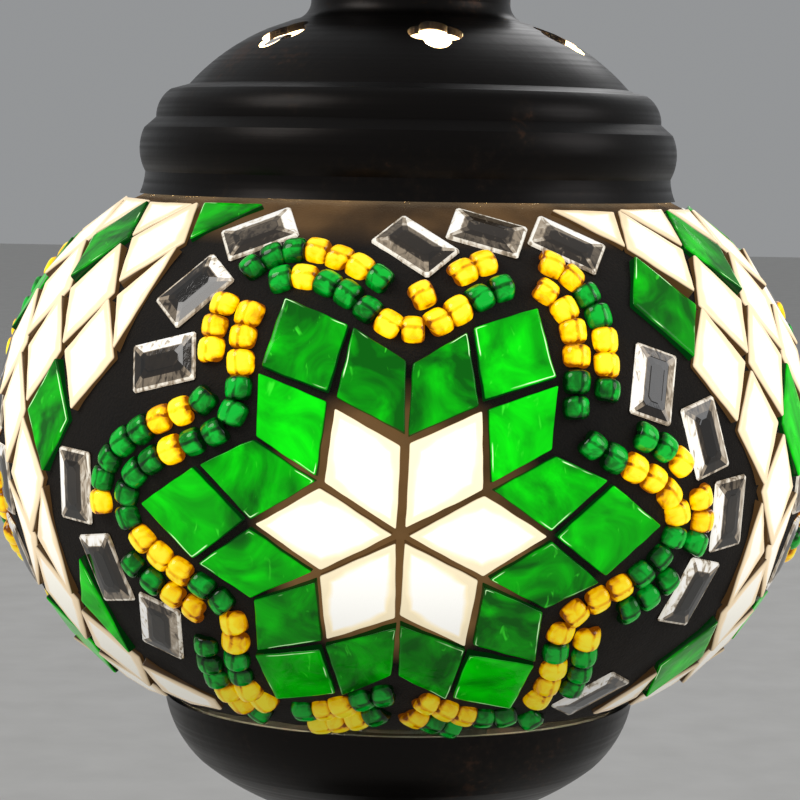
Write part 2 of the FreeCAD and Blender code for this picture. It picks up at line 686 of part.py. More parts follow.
def cut_level(corners, level, above):
    """The part of an outline that lies above a level, or below it."""
    kept = []
    for here, after in zip(corners, corners[1:] + corners[:1]):
        inside = (here[1] > level) == above
        if inside:
            kept.append(here)
        if inside != ((after[1] > level) == above):
            share = (level - here[1]) / (after[1] - here[1])
            kept.append((here[0] + (after[0] - here[0]) * share, level))
    return kept


def lay_dividers(mosaic, turn):
    """Rhombi between two medallions. Where a whole one doesn't fit, half of it may; one in five is green."""
    wide, tall = SIZE["diamond_wide"], SIZE["diamond_tall"]
    for column in range(-4, 5):
        for level in range(-8, 2):
            if (column + level) % 2:
                continue
            x, y = column * wide, SIZE["diamond_level"] + level * tall
            east, north, west, south = (x + wide, y), (x, y + tall), (x - wide, y), (x, y - tall)
            colour = "green" if (3 * level - column) // 2 % 5 == 0 else "white"
            for corners in ([east, north, west, south], [north, west, south], [south, east, north],
                            [east, north, west], [west, south, east]):
                corners = cut_level(corners, SIZE["divider_top"], above=False)
                corners = cut_level(corners, SIZE["divider_bottom"], above=True)
                if max((c[1] for c in corners), default=0) - min((c[1] for c in corners), default=0) < 4:
                    continue
                corners = [mosaic.wander(corner) for corner in corners]
                if mosaic.lay("divider_pieces_" + colour, glass_slab(divider_spot, turn, corners)):
                    break


def make_mosaic():
    """Three medallions round the globe, and what fills the room between them."""
    mosaic = Mosaic()
    turns = [math.radians(120 * k) for k in range(3)]
    for lay in (lay_star, lay_jewels, lay_beads):
        for turn in turns:
            lay(mosaic, turn)
    for turn in turns:
        lay_dividers(mosaic, turn + math.pi / 3)
    for label, solids in mosaic.groups.items():
        feature = doc.addObject("Part::Feature", label + "_group")
        feature.Shape = Part.makeCompound(solids)
        keep(feature, label)


# ---------------------------------------------------------------- lampholder and bulb

def make_holder():
    """Small-screw lampholder: moulded base and sleeve, brass shell, insulator, spring contact and screws."""
    turned("holder_base", "holder_height", [
        ("bore", "0"), ("9.5", "0"), ("holder_radius", "5", "5.5", 1), ("holder_radius", "holder_base_tall"),
        ("holder_radius - holder_wall", "holder_base_tall"), ("holder_radius - holder_wall", "6"),
        ("bore", "6")])
    turned("holder_sleeve", "holder_height + holder_base_tall", [
        ("shell_bore + shell_wall + 1", "0"), ("holder_radius", "0"),
        ("holder_radius", "holder_tall - holder_base_tall - 3"),
        ("holder_radius - 1.4", "holder_tall - holder_base_tall"),
        ("holder_radius - 3", "holder_tall - holder_base_tall"),
        ("holder_radius - 3.8", "holder_tall - holder_base_tall - 3"),
        ("shell_bore + shell_wall + 1", "holder_tall - holder_base_tall - 3")])
    ring("holder_insulator", "holder_height + holder_base_tall - 3", "holder_radius - holder_wall - 0.2",
         "1.6", "3")
    ring("holder_shell", "holder_height + holder_base_tall", "shell_bore + shell_wall", "shell_bore",
         "shell_tall - 1.5")
    contact = doc.addObject("Part::Box", "contact_strip")
    contact.Length, contact.Width, contact.Height = 8, 3, 0.5
    contact.Placement.Base = Vector(-4, -1.5, 0)
    keep(contact, "centre_contact", "holder_height + holder_base_tall + 0.6")
    heads = []
    for side in (-1, 1):
        shank = doc.addObject("Part::Cylinder", "terminal_shank")
        shank.Radius, shank.Height = 1.2, 2.4
        head = doc.addObject("Part::Cylinder", "terminal_head")
        head.Radius, head.Height = 2.2, 1.4
        head.Placement.Base.z = -1.4
        screw = doc.addObject("Part::MultiFuse", "terminal_screw")
        screw.Shapes = [shank, head]
        screw.Placement.Base.x = 8 * side
        heads.append(screw)
    doc.recompute()
    screws = doc.addObject("Part::Compound", "terminal_pair")
    screws.Links = heads
    keep(screws, "terminal_screws", "holder_height + holder_base_tall - 5.5")


def make_bulb():
    """Small tubular bulb: glass, screw cap, black insulator, contact, glass stem and filament."""
    cap = "holder_height + holder_base_tall + 4.2"
    rim = "holder_height + holder_tall"
    turned("bulb_screw_cap", cap, [
        ("3.4", "0"), ("5.2", "0"), ("cap_thread_radius - 0.5", "2"),
        ("cap_thread_radius - 0.5", "4.6", "2", 1), ("cap_thread_radius - 0.5", "7.2", "2", 1),
        ("cap_thread_radius - 0.5", "9.8", "2", 1), ("cap_thread_radius - 0.5", "12.4", "2", 1),
        ("cap_thread_radius - 0.4", "screw_cap_tall"), ("cap_thread_radius - 0.7", "screw_cap_tall"),
        ("cap_thread_radius - 0.8", "2.4"), ("5", "0.4"), ("3.4", "0.4")])
    turned("bulb_insulator", f"{cap} - 1.6", [
        ("2", "0"), ("2.8", "0"), ("4.6", "1.6"), ("3.4", "1.6"), ("3.4", "2"), ("2", "2")])
    turned("bulb_contact", f"{cap} - 2.4", [
        ("0", "0"), ("2.2", "0.7", "4", 1), ("2", "0.7"), ("2", "2.4"), ("0", "2.4")])
    neck = f"({cap} + screw_cap_tall - 3 - ({rim}))"
    top = "bulb_glass_tall"
    turned("bulb_glass", rim, [
        ("cap_thread_radius - 1.6", neck), ("cap_thread_radius - 0.95", neck),
        ("cap_thread_radius - 0.95", "1.5"), ("bulb_radius", "9", "13", 1),
        ("bulb_radius", f"{top} - bulb_radius"), ("0", top, "bulb_radius", 1),
        ("0", f"{top} - bulb_wall"),
        ("bulb_radius - bulb_wall", f"{top} - bulb_radius", "bulb_radius - bulb_wall", -1),
        ("bulb_radius - bulb_wall", "9"),
        ("cap_thread_radius - 1.6", "1.5", "12.3", -1)])
    turned("bulb_stem", rim, [
        ("0", neck), ("4.6", neck), ("4.6", f"{neck} + 1"), ("1.9", "1.5"), ("1.9", "9"), ("0", "9")])
    loop_radius, loop_height, leg_foot = 3.1, 17.2, 8
    frame = Part.makeTorus(loop_radius, 0.3, Vector(0, 0, loop_height))
    for side in (-1, 1):
        foot = Vector(side, 0, leg_foot)
        leg = Vector(side * loop_radius, 0, loop_height) - foot
        frame = frame.fuse(Part.makeCylinder(0.25, leg.Length, foot, leg))
    feature = doc.addObject("Part::Feature", "filament_wire")
    feature.Shape = frame.cut(Part.makeCylinder(1.95, 9.05))
    keep(feature, "bulb_filament", rim)


# ---------------------------------------------------------------- cap

def make_cap_dome():
    """Spun cap: a skirt, two half-round mouldings, a dome, a neck with an inturned top, and six quatrefoils."""
    outline = [
        ("cap_radius", "0"),
        ("cap_radius - 0.8", "3.3", "9", -1),
        ("cap_radius - 0.6", "10", "7.5", 1),
        ("cap_radius - 2.4", "11.6"),
        ("cap_radius - 4.6", "15.9", "5", 1),
        ("cap_radius - 7.4", "16.7"),
        ("cap_radius - 19.2", "25.3", "34", 1),
        ("neck_radius + 2.6", "26.8"),
        ("neck_radius", "29.4", "3", -1),
        ("neck_radius", "cap_flange_tall"),
        ("bore", "cap_flange_tall"),
        ("bore", "cap_flange_tall - cap_wall"),
        ("neck_radius - cap_wall", "cap_flange_tall - cap_wall"),
        ("neck_radius - cap_wall", "28.6"),
        ("neck_radius + 2.3", "25.8", "3.6", 1),
        ("cap_radius - 19.6", "24.3"),
        ("cap_radius - 8", "15.8", "33", -1),
        ("cap_radius - 5.2", "15"),
        ("cap_radius - 3.5", "11.2", "4", -1),
        ("cap_radius - 1.7", "9.6"),
        ("cap_radius - 1.8", "3.3", "6.6", -1),
        ("cap_radius - cap_wall", "0", "10", 1),
    ]
    body = turned_body("cap_body", outline)
    foil = new_sketch(body, "quatrefoil_sketch", "XY_Plane")
    draw_quatrefoil(foil)
    pierce = body.newObject("PartDesign::Pocket", "quatrefoil_cut")
    pierce.Profile = foil
    pierce.Type = "ThroughAll"
    pierce.Reversed = True
    doc.recompute()
    solid = body.newObject("PartDesign::PolarPattern", "quatrefoil_ring")
    solid.Originals = [pierce]
    solid.Axis = (plane_of(body, "Z_Axis"), [""])
    solid.Angle = 360.0
    solid.setExpression("Occurrences", bound("piercing_count"))
    body.Tip = solid
    doc.recompute()
    if not solid.Shape.Volume < pierce.Shape.Volume < body.Group[1].Shape.Volume:
        raise RuntimeError("the cap's quatrefoils aren't all cut")
    front = SIZE["piercing_turn"] - 90
    return keep(body, "cap_dome", "cap_height", turn=front)


def draw_quatrefoil(sketch):
    """Four lobes round a place on the X axis, each running more than half round from cusp to cusp."""
    offset, radius = SIZE["foil_offset"], SIZE["foil_radius"]
    cusp = (offset + math.sqrt(2 * radius ** 2 - offset ** 2)) / 2
    middle = Vector(SIZE["piercing_radius"], 0, 0)
    edges = []
    for quarter in range(4):
        turn = Rotation(Vector(0, 0, 1), 90 * quarter)
        angles = [math.radians(90 * quarter) + side * math.atan2(cusp, cusp - offset) for side in (-1, 1)]
        circle = Part.Circle(middle + turn.multVec(Vector(offset, 0, 0)), Vector(0, 0, 1), radius)
        edges.append(sketch.addGeometry(Part.ArcOfCircle(circle, *angles), False))
    centres = [("piercing_radius + foil_offset", "0"), ("piercing_radius", "foil_offset"),
               ("piercing_radius - foil_offset", "0"), ("piercing_radius", "0 - foil_offset")]
    for i, edge in enumerate(edges):
        sketch.addConstraint(Sketcher.Constraint("Coincident", edges[i - 1], 2, edge, 1))
        fix_point(sketch, edge, 3, centres[i])
    index = sketch.addConstraint(Sketcher.Constraint("Radius", edges[0], radius))
    sketch.setExpression(f"Constraints[{index}]", bound("foil_radius"))
    for edge in edges[1:]:
        sketch.addConstraint(Sketcher.Constraint("Equal", edges[0], edge))


def make_cap():
    make_cap_dome()
    lip = "equator_height + lip_top"
    ring("lip_gasket", lip, "lip_radius", "lip_radius - glass_thick", "gasket_thick")
    ring("cap_seat_ring", f"{lip} + gasket_thick + 0.05", "seat_outer", "seat_inner", "1")
    top = "cap_height + cap_flange_tall"
    ring("cap_washer", f"{top} - cap_wall - 1", "10", "bore", "1")
    hex_nut("cap_nut", f"{top} - cap_wall - 5", "4")
    rod = cylinder("nipple_rod", "tube_radius", "nipple_length")
    keep(rod, "cap_nipple", f"{top} - cap_wall - 6.5")
    turned("neck_collar", top, [
        ("bore", "0"), ("collar_radius - 1.2", "0"), ("collar_radius - 1.2", "collar_tall", "3", 1),
        ("bore", "collar_tall")])
    turned("crown_cap", f"{top} + collar_tall", [
        ("bore", "0"), ("crown_radius", "0"), ("crown_radius", "2"),
        ("crown_radius - 4.6", "9.5", "11", 1), ("6.6", "crown_tall - 1.5", "7", -1),
        ("6.6", "crown_tall"), ("bore", "crown_tall")])
    turned("finial", f"{top} + collar_tall + crown_tall", [
        ("bore", "0"), ("6.6", "0"), ("6.6", "1.6"), ("5.6", "3"),
        ("finial_radius", "9", "8", 1), ("3.2", "16.4", "8.5", 1), ("2.2", "18", "2", -1),
        ("1.5", "finial_tall - finial_ball - sqrt(finial_ball ^ 2 - 1.5 ^ 2)"),
        ("0", "finial_tall", "finial_ball", 1), ("0", "12"), ("bore", "12")])


# ---------------------------------------------------------------- build and export

def check_document():
    doc.recompute()
    for thing in doc.Objects:
        if "Invalid" in thing.State or "Error" in thing.State:
            raise RuntimeError(f"{thing.Label} failed: {thing.State}")
    for piece in parts:
        if piece.Shape.isNull() or not piece.Shape.isValid():
            raise RuntimeError(f"{piece.Label} has no valid shape")


def main():
    bowl_seat = make_stand()
    make_bowl(bowl_seat)
    make_globe_glass()
    make_grout()
    make_mosaic()
    make_holder()
    make_bulb()
    make_cap()
    check_document()
    os.makedirs("parts", exist_ok=True)
    for piece in parts:
        piece.Shape.exportStep(os.path.join("parts", piece.Label + ".step"))
        solids = piece.Shape.Solids
        print(f"{piece.Label}: {len(solids)} solids, {sum(s.Volume for s in solids):.1f} mm3")


main()
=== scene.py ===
"""Looks of the mosaic lamp: hand-cut glass, beads, jewels and grout in place of the CAD ones, and metals."""

import json
import math
import random

import bmesh
import bpy
import numpy as np
from mathutils import Matrix, Vector, noise


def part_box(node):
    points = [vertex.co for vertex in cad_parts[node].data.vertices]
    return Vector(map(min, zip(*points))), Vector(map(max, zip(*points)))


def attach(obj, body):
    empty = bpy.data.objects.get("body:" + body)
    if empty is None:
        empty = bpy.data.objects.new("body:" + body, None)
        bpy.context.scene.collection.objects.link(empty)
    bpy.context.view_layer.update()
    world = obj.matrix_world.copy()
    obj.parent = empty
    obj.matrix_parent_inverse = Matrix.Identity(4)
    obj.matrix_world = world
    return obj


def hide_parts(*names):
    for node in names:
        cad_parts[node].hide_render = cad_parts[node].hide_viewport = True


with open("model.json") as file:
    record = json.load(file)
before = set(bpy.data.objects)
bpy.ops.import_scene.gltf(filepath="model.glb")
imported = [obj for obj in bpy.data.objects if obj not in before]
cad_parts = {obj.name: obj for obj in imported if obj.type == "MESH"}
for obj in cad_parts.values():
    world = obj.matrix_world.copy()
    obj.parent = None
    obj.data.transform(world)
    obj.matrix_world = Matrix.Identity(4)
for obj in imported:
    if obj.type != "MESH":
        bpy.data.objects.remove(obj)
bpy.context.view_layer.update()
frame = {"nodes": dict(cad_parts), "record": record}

NODES = frame["nodes"]
MM = 0.001
LIP_ABOVE_EQUATOR = 45 * MM
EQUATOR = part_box("globe_glass")[1][2] - LIP_ABOVE_EQUATOR
GLOBE_CENTRE = Vector((0, 0, EQUATOR))
PIECE_THICK = 2.8 * MM

# the globe's outline over the glass pieces: side arcs and crown arcs that meet at CROWN_START radians
SIDE_OFFSET, SIDE_RADIUS, CROWN_DROP = 20 * MM, 43 * MM, 30.33 * MM
CROWN_RADIUS = SIDE_RADIUS + math.hypot(SIDE_OFFSET, CROWN_DROP)
CROWN_START = math.atan2(CROWN_DROP, SIDE_OFFSET)
MEDALLION_DROP = 7.0 * MM

# the photo's view: from in front, from a little above the globe's middle and looking slightly down
CAMERA_LENS = 123.7
CAMERA_DISTANCE, CAMERA_RISE = 0.426, 44.2 * MM
CAMERA_DOWN, CAMERA_ROLL, CAMERA_YAW = 5.2, 1.0, 0.08

LAMP_MIDDLE = (0, 0, 0.16)
GLOW_ABOVE_FILAMENT = 22 * MM
FLOOR_HALF = 6.0
BLACK = (0.0, 0.0, 0.0)


# ---------------------------------------------------------------- camera and light

def make_camera():
    camera = bpy.data.objects.new("camera", bpy.data.cameras.new("camera"))
    bpy.context.collection.objects.link(camera)
    camera.data.lens = CAMERA_LENS
    camera.data.sensor_width = 36
    camera.data.clip_start = 0.01
    pitch, roll, yaw = (math.radians(angle) for angle in (90 - CAMERA_DOWN, CAMERA_ROLL, CAMERA_YAW))
    turn = Matrix.Rotation(yaw, 4, "Z") @ Matrix.Rotation(pitch, 4, "X") @ Matrix.Rotation(roll, 4, "Z")
    camera.matrix_world = Matrix.Translation((0, -CAMERA_DISTANCE, EQUATOR + CAMERA_RISE)) @ turn
    bpy.context.scene.camera = camera


def area_light(name, place, watts, colour):
    """A soft round light, one metre across, that faces the lamp."""
    data = bpy.data.lights.new(name, "AREA")
    data.shape, data.size, data.energy, data.color = "DISK", 1.0, watts, colour
    light = bpy.data.objects.new(name, data)
    bpy.context.collection.objects.link(light)
    away = Vector(place) - Vector(LAMP_MIDDLE)
    light.matrix_world = Matrix.Translation(place) @ away.to_track_quat("Z", "Y").to_matrix().to_4x4()


def make_lights():
    area_light("key_light", (-1.3, -0.5, 1.5), 9, (1.0, 0.98, 0.95))
    area_light("fill_light", (1.5, -0.3, 0.9), 4, (0.95, 0.97, 1.0))
    area_light("back_light", (0.3, 1.4, 1.2), 4, (1.0, 1.0, 1.0))
    bulb = bpy.data.lights.new("bulb_light", "POINT")
    bulb.energy, bulb.color, bulb.shadow_soft_size = 2.4, (1.0, 0.84, 0.6), 4 * MM
    glow = bpy.data.objects.new("bulb_light", bulb)
    glow.location = (0, 0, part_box("bulb_filament")[1][2] + GLOW_ABOVE_FILAMENT)
    glow.visible_camera = False
    bpy.context.collection.objects.link(glow)
    world = bpy.data.worlds.new("studio")
    world.use_nodes = True
    world.node_tree.nodes["Background"].inputs["Color"].default_value = (0.82, 0.84, 0.86, 1)
    world.node_tree.nodes["Background"].inputs["Strength"].default_value = 0.36
    bpy.context.scene.world = world
    bpy.context.scene.view_settings.view_transform = "Standard"


def make_floor():
    mesh = bpy.data.meshes.new("floor")
    corners = [(FLOOR_HALF * x, FLOOR_HALF * y, 0) for x, y in ((-1, -1), (1, -1), (1, 1), (-1, 1))]
    mesh.from_pydata(corners, [], [(0, 1, 2, 3)])
    floor = bpy.data.objects.new("floor", mesh)
    bpy.context.collection.objects.link(floor)
    look = Look("floor_paint", {"Roughness": 0.7})
    grain = look.noise(look.place(), 40, 4)
    look.set("Base Color", look.ramp(grain, [(0.3, (0.60, 0.59, 0.57)), (0.7, (0.66, 0.65, 0.63))]))
    mesh.materials.append(look.material)


# ---------------------------------------------------------------- materials

class Look:
    """A Principled material whose other nodes are added one by one."""

    def __init__(self, name, fixed):
        self.material = bpy.data.materials.new(name)
        self.material.use_nodes = True
        self.tree = self.material.node_tree
        self.shader = self.tree.nodes["Principled BSDF"]
        for socket, value in fixed.items():
            self.set(socket, value)

    def put(self, socket, value):
        if isinstance(value, bpy.types.NodeSocket):
            self.tree.links.new(value, socket)
        elif isinstance(value, tuple) and len(value) == 3 and socket.type == "RGBA":
            socket.default_value = (*value, 1)
        else:
            socket.default_value = value

    def set(self, socket, value):
        self.put(self.shader.inputs[socket], value)

    def add(self, kind, inputs, **settings):
        node = self.tree.nodes.new("ShaderNode" + kind)
        for name, value in settings.items():
            setattr(node, name, value)
        for socket, value in inputs.items():
            self.put(node.inputs[socket], value)
        return node

    def place(self):
        """The point of the surface in the object's own frame, in metres."""
        return self.add("TexCoord", {}).outputs["Object"]

    def mark(self, name):
        """A number stored on the mesh."""
        return self.add("Attribute", {}, attribute_name=name).outputs["Fac"]

    def math(self, operation, one, two=0.0):
        return self.add("Math", {0: one, 1: two}, operation=operation).outputs[0]

    def height(self):
        return self.add("SeparateXYZ", {0: self.place()}).outputs[2]

    def waver(self, value, cloud, amount):
        """The value, moved up or down by the cloud by as much as half the amount."""
        return self.math("ADD", value, self.math("MULTIPLY", self.math("SUBTRACT", cloud, 0.5), amount))

    def weigh(self, one, one_share, two, two_share):
        """The sum of two values, each times its share."""
        return self.math("ADD", self.math("MULTIPLY", one, one_share), self.math("MULTIPLY", two, two_share))

    def span(self, value, low, high, to_low=0.0, to_high=1.0):
        """The value's place between low and high, smoothly, as a number from to_low to to_high."""
        inputs = {"Value": value, "From Min": low, "From Max": high, "To Min": to_low, "To Max": to_high}
        return self.add("MapRange", inputs, interpolation_type="SMOOTHSTEP").outputs["Result"]

    def noise(self, vector, scale, detail=3.0, distortion=0.0):
        inputs = {"Vector": vector, "Scale": scale, "Detail": detail, "Distortion": distortion}
        return self.add("TexNoise", inputs).outputs["Fac"]

    def stretch(self, vector, scale):
        return self.add("Mapping", {"Vector": vector, "Scale": scale}).outputs["Vector"]

    def mix(self, share, one, two, blend="MIX"):
        """Two colours mixed, with that share of the second."""
        return self.add("Mix", {0: share, 6: one, 7: two}, data_type="RGBA", blend_type=blend).outputs[2]

    def ramp(self, value, stops):
        node = self.add("ValToRGB", {"Fac": value})
        band = node.color_ramp
        while len(band.elements) < len(stops):
            band.elements.new(0.5)
        for element, (position, colour) in zip(band.elements, stops):
            element.position, element.color = position, (*colour, 1)
        return node.outputs["Color"]

    def bump(self, height, distance, strength=1.0):
        inputs = {"Height": height, "Distance": distance, "Strength": strength}
        self.set("Normal", self.add("Bump", inputs).outputs["Normal"])

    def turned_place(self):
        """(distance from the axis, height) of the surface, for marks that run round a turned part."""
        parts = self.add("SeparateXYZ", {0: self.place()}).outputs
        squares = self.math("ADD", self.math("MULTIPLY", parts[0], parts[0]),
                            self.math("MULTIPLY", parts[1], parts[1]))
        return self.add("CombineXYZ", {0: self.math("SQRT", squares), 1: parts[2]}).outputs[0]

    def bulb_share(self):
        """How brightly the bulb lights a piece of the globe, from its height."""
        height = self.height()
        low = self.span(height, EQUATOR - 42 * MM, EQUATOR + 8 * MM, 0.30, 1.0)
        high = self.span(height, EQUATOR + 24 * MM, EQUATOR + 40 * MM, 1.0, 0.8)
        return self.math("MULTIPLY", low, high)


def lit(look, colour, strength, base=0.35):
    """Paints the bulb's light shining through a piece of that colour as a glow; base is how much of it shows
    in studio light.
    """
    look.set("Emission Color", look.mix(1.0, colour, look.bulb_share(), "MULTIPLY"))
    look.set("Emission Strength", strength)
    look.set("Base Color", look.mix(base, BLACK, colour))


def opal_look(name, middle, rim, strength):
    """White or cream glass in a painted glow: brightest in the middle, with painted shade making it creamier
    towards its rim and corners, and a brown cut edge.
    """
    look = Look(name, {"Roughness": 0.2, "Coat Weight": 0.25, "Coat Roughness": 0.1})
    place = look.place()
    inward = look.waver(look.mark("inset"), look.noise(place, 150, 3, 0.8), 0.25)
    # painted shade: the glow dims from the middle towards the rim, and darker still in the corners
    shade = look.math("MINIMUM", inward, 0.75)
    shade = look.math("SUBTRACT", shade, look.math("MULTIPLY", look.mark("corner"), 0.55))
    shade = look.math("SUBTRACT", shade, look.math("MULTIPLY", look.mark("tint"), 0.14))
    painted_shade_rim = tuple(0.9 * channel for channel in rim)
    colour = look.ramp(shade, [(0.0, painted_shade_rim), (0.16, rim), (0.42, middle), (0.9, middle)])
    colour = look.mix(look.span(look.mark("inset"), -0.12, 0.02), (0.06, 0.03, 0.01), colour)
    lit(look, colour, strength)
    look.bump(look.noise(place, 420, 2), 0.12 * MM, 0.4)
    return look.material


def green_look():
    """Rolled green glass: dark patches, long bright streaks, and pale glints along the cut edge."""
    look = Look("green_glass", {"Roughness": 0.16, "Coat Weight": 0.08, "Specular IOR Level": 0.22})
    place = look.place()
    cloud = look.noise(place, 105, 4, 1.6)
    body = look.ramp(look.waver(cloud, look.mark("tint"), 0.3), [
        (0.26, (0.0, 0.075, 0.001)), (0.40, (0.0, 0.19, 0.001)), (0.54, (0.0, 0.34, 0.001)),
        (0.76, (0.0, 0.60, 0.001))])
    streaks = look.noise(look.stretch(place, (700, 220, 330)), 1.0, 2, 0.8)
    body = look.mix(look.span(streaks, 0.66, 0.80, 0.0, 0.5), body, (0.05, 0.78, 0.03))
    rim = look.waver(look.mark("inset"), cloud, 0.08)
    body = look.mix(look.span(rim, -0.08, 0.03), (0.0, 0.022, 0.002), body)
    near_edge = look.span(look.math("ABSOLUTE", look.math("SUBTRACT", rim, 0.07)), 0.045, 0.0)
    glint = look.math("MULTIPLY", near_edge, look.span(look.noise(place, 130, 2), 0.55, 0.62))
    lit(look, look.mix(glint, body, (0.62, 1.0, 0.50)), 1.6, 0.12)
    look.bump(look.noise(place, 260, 3, 0.8), 0.2 * MM, 0.6)
    return look.material


def bead_look(name, hot, bright, deep, dark, strength):
    """A glass bead in a painted backlight: light gathers either side of its bore, a dark line, and painted
    shade deepens its flanks and its ends.
    """
    look = Look(name, {"Roughness": 0.08, "Coat Weight": 0.25, "Specular IOR Level": 0.35})
    place = look.place()
    cloud = look.noise(place, 520, 3, 0.8)
    glow = look.waver(look.mark("facing"), cloud, 1.5)
    glow = look.waver(glow, look.mark("tint"), 0.35)
    bore = look.span(look.math("ABSOLUTE", look.waver(look.mark("aside"), cloud, 0.5)), 0.20, 0.04)
    glow = look.math("SUBTRACT", glow, look.math("MULTIPLY", bore, 0.42))
    # painted shade towards the bead's ends, where it meets the next bead
    glow = look.math("SUBTRACT", glow, look.span(look.mark("end"), 0.55, 1.0, 0.0, 0.6))
    lit(look, look.ramp(glow, [(0.08, dark), (0.36, deep), (0.66, bright), (1.0, hot)]), strength)
    look.bump(look.noise(place, 800, 2), 0.06 * MM, 0.5)
    return look.material


def jewel_look():
    """Clear moulded glass in a painted glow: a dark table with faint streaks, facets that catch the light
    unevenly, and more painted glow near the cap.
    """
    look = Look("jewel_glass", {"Roughness": 0.06, "Coat Weight": 0.8, "Coat Roughness": 0.02})
    streaks = look.noise(look.stretch(look.place(), (900, 900, 300)), 1.0, 3, 1.2)
    glow = look.math("MULTIPLY", look.mark("catch"), look.span(streaks, 0.3, 0.55, 0.55, 1.1))
    glow = look.math("ADD", glow, look.span(streaks, 0.60, 0.72, 0.0, 0.10))
    # painted glow, rising towards the cap's rim
    painted_glow_near_cap = look.span(look.height(), EQUATOR + 26 * MM, EQUATOR + 35 * MM, 0.0, 0.17)
    colour = look.ramp(look.math("ADD", glow, painted_glow_near_cap), [
        (0.0, (0.003, 0.002, 0.001)), (0.2, (0.022, 0.015, 0.009)), (0.5, (0.34, 0.27, 0.19)),
        (0.72, (0.88, 0.82, 0.70)), (1.0, (1.0, 0.985, 0.95))])
    lit(look, colour, 1.25, 0.08)
    look.bump(streaks, 0.05 * MM, 0.4)
    return look.material


def grout_look():
    """Dark sandy grout with a painted brown glow between the white pieces and below the cap."""
    look = Look("grout", {"Roughness": 0.85})
    place = look.place()
    sand = look.noise(place, 2600, 3)
    cloud = look.noise(place, 90, 3)
    look.set("Base Color", look.ramp(look.weigh(sand, 0.5, cloud, 0.5), [
        (0.3, (0.004, 0.0025, 0.002)), (0.6, (0.014, 0.009, 0.005)), (0.8, (0.035, 0.022, 0.012))]))
    # painted glow: brown light through the grout inside the stars and below the cap
    thin = look.math("MULTIPLY", look.mark("thin"), look.span(cloud, 0.3, 0.65, 0.35, 1.0))
    look.set("Emission Color", look.mix(thin, BLACK, (0.15, 0.078, 0.026)))
    look.set("Emission Strength", 1.0)
    look.bump(sand, 0.25 * MM, 0.7)
    return look.material


def inside_of_cap(look):
    """1 on faces that look towards the axis or down, 0 on the cap's outer faces."""
    outward = look.add("VectorMath", {0: look.place(), 1: (1.0, 1.0, 0.0)}, operation="MULTIPLY").outputs[0]
    outward = look.add("VectorMath", {0: outward}, operation="NORMALIZE").outputs[0]
    outward = look.add("VectorMath", {0: outward, 1: (0.0, 0.0, 0.3)}, operation="ADD").outputs[0]
    normal = look.add("NewGeometry", {}).outputs["True Normal"]
    towards = look.add("VectorMath", {0: outward, 1: normal}, operation="DOT_PRODUCT").outputs["Value"]
    return look.math("LESS_THAN", towards, -0.05)


def bronze_look(name, with_painted_inner_glow=False):
    """Spun metal in a nearly black bronze finish: fine turning lines, and a brown cast where it is rubbed."""
    look = Look(name, {"Metallic": 0.85, "Coat Weight": 0.12, "Coat Roughness": 0.3})
    place = look.place()
    turning = look.add("VectorMath", {0: look.turned_place(), "Scale": 1400.0}, operation="SCALE")
    rings = look.noise(turning.outputs[0], 1.0, 3)
    cloud = look.noise(place, 55, 5, 0.6)
    speck = look.noise(place, 900, 2)
    wear = look.span(look.waver(cloud, speck, 0.35), 0.52, 0.78)
    colour = look.ramp(wear, [
        (0.0, (0.008, 0.006, 0.005)), (0.5, (0.015, 0.010, 0.007)), (1.0, (0.06, 0.028, 0.015))])
    look.set("Roughness", look.span(look.weigh(rings, 0.5, cloud, 0.5), 0.3, 0.7, 0.30, 0.48))
    look.bump(look.weigh(rings, 0.6, speck, 0.5), 0.05 * MM, 0.6)
    # inside the cap: bare copper colour, and a painted warm glow standing in for the bulb's light on it
    if with_painted_inner_glow:
        inside = inside_of_cap(look)
        colour = look.mix(inside, colour, (0.5, 0.36, 0.2))
        painted_inner_glow_colour = look.mix(cloud, (1.0, 0.80, 0.48), (1.0, 0.92, 0.74))
        look.set("Emission Color", look.mix(inside, BLACK, painted_inner_glow_colour))
        look.set("Emission Strength", 1.6)
    look.set("Base Color", colour)
    return look.material


def plain_look(name, dark, pale, roughness, fixed=None, scale=300, depth=0.04, detail=3):
    """A solid material with mottled colour, uneven roughness and a fine bump, whose depth is in mm."""
    look = Look(name, fixed or {})
    place = look.place()
    grain = look.noise(place, scale, detail)
    cloud = look.noise(place, scale * 0.15, 3)
    look.set("Base Color", look.ramp(look.weigh(grain, 0.5, cloud, 0.5), [(0.35, dark), (0.65, pale)]))
    look.set("Roughness", look.span(grain, 0.3, 0.7, roughness * 0.8, min(1.0, roughness * 1.2)))
    look.bump(grain, depth * MM, 0.7)
    return look.material


def clear_look(name, tint, alpha, roughness):
    """Thin clear glass that lets lamps through, with faint seeds and waves."""
    look = Look(name, {"Alpha": alpha, "Coat Weight": 1.0, "Coat Roughness": 0.03})
    place = look.place()
    wave = look.noise(place, 120, 2)
    look.set("Base Color", look.mix(wave, tint, tuple(0.85 * c for c in tint)))
    look.set("Roughness", look.span(wave, 0.3, 0.7, roughness, roughness * 2))
    look.bump(wave, 0.1 * MM, 0.4)
    return look.material


def filament_look():
    look = Look("filament", {"Roughness": 0.5, "Emission Strength": 30.0})
    heat = look.noise(look.place(), 400, 2)
    look.set("Emission Color", look.mix(heat, (1.0, 0.55, 0.2), (1.0, 0.75, 0.42)))
    look.set("Base Color", (0.4, 0.3, 0.2))
    return look.material


